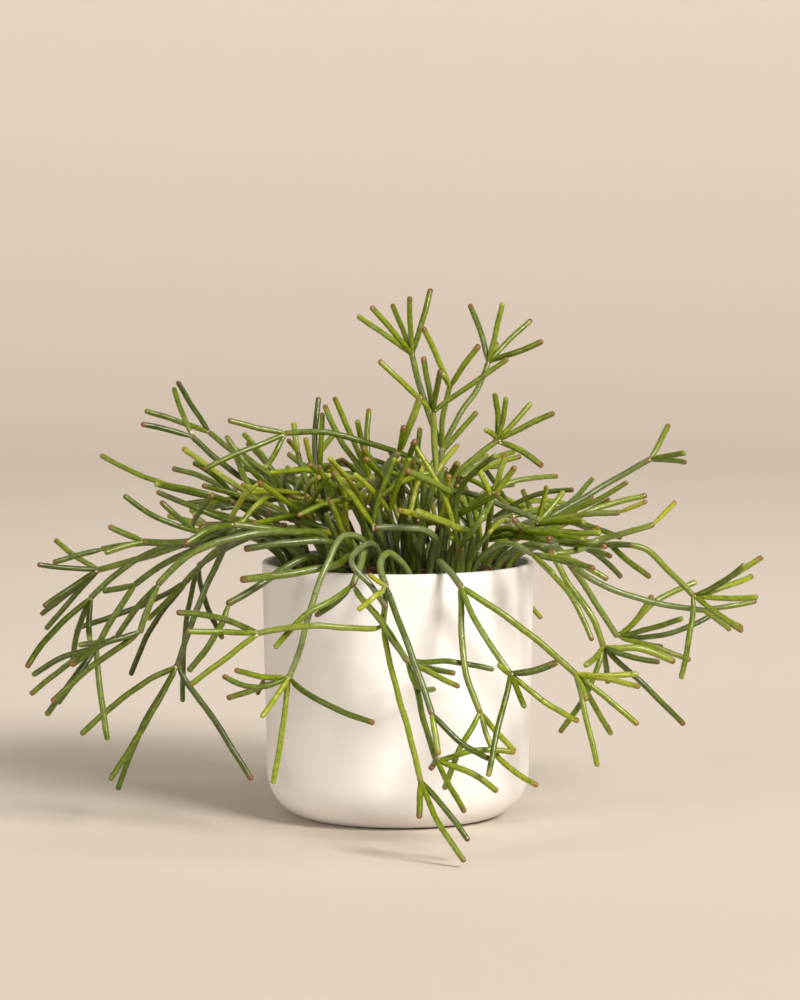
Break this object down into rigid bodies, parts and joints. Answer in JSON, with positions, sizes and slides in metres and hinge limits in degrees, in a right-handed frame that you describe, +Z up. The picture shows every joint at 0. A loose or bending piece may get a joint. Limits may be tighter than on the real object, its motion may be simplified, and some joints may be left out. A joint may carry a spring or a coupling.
{
  "type": "potted rhipsalis neves-armondii",
  "caption": "Potted trailing cactus: slim jointed stems in whorls rise, arch and hang over the rim of a plain round tapered pot filled with potting mix.",
  "frame": {"origin": "centre of the pot's flat foot, on the ground", "axes": "+Z up along the pot's axis; the picture looks along +Y, with +X to its right"},
  "size_m": [0.3803, 0.3298, 0.2741],
  "materials": {
    "pot_white": "smooth white, satin, no pattern",
    "potting_mix": "coarse dark mix with brown bark",
    "stem_green": "smooth green stems with small dark areoles, pale collars at joints and reddish-brown tips"
  },
  "bodies": {
    "root": {"pot": "pot_white", "soil": "potting_mix", "stems_arch_left": "stem_green", "stems_back_01": "stem_green", "stems_back_02": "stem_green", "stems_back_03": "stem_green", "stems_back_04": "stem_green", "stems_back_05": "stem_green", "stems_back_06": "stem_green", "stems_back_07": "stem_green", "stems_back_08": "stem_green", "stems_back_09": "stem_green", "stems_back_10": "stem_green", "stems_back_11": "stem_green", "stems_back_12": "stem_green", "stems_back_13": "stem_green", "stems_inner_left": "stem_green", "stems_inner_middle": "stem_green", "stems_inner_right": "stem_green", "stems_crown": "stem_green", "stems_crown_front": "stem_green", "stems_far_left_a": "stem_green", "stems_far_left_b": "stem_green", "stems_far_left_c": "stem_green", "stems_far_left_low": "stem_green", "stems_far_right_a": "stem_green", "stems_far_right_b": "stem_green", "stems_front_hook": "stem_green", "stems_front_left_hang": "stem_green", "stems_front_middle_left": "stem_green", "stems_front_right": "stem_green", "stems_front_stub": "stem_green", "stems_front_thick": "stem_green", "stems_front_trail": "stem_green", "stems_left_back_hang": "stem_green", "stems_left_back_low": "stem_green", "stems_left_front_low": "stem_green", "stems_left_hang": "stem_green", "stems_left_long": "stem_green", "stems_left_middle": "stem_green", "stems_left_rim": "stem_green", "stems_left_thick": "stem_green", "stems_left_up_a": "stem_green", "stems_left_up_b": "stem_green", "stems_left_up_c": "stem_green", "stems_middle_left_a": "stem_green", "stems_middle_left_b": "stem_green", "stems_middle_left_c": "stem_green", "stems_right_arch": "stem_green", "stems_right_back": "stem_green", "stems_right_dark": "stem_green", "stems_right_front_tips": "stem_green", "stems_right_front_up": "stem_green", "stems_right_low": "stem_green", "stems_right_middle": "stem_green", "stems_right_tips": "stem_green", "stems_right_up": "stem_green", "stems_rim_left_a": "stem_green", "stems_rim_left_b": "stem_green", "stems_upper_right": "stem_green"}
  },
  "joints": []
}
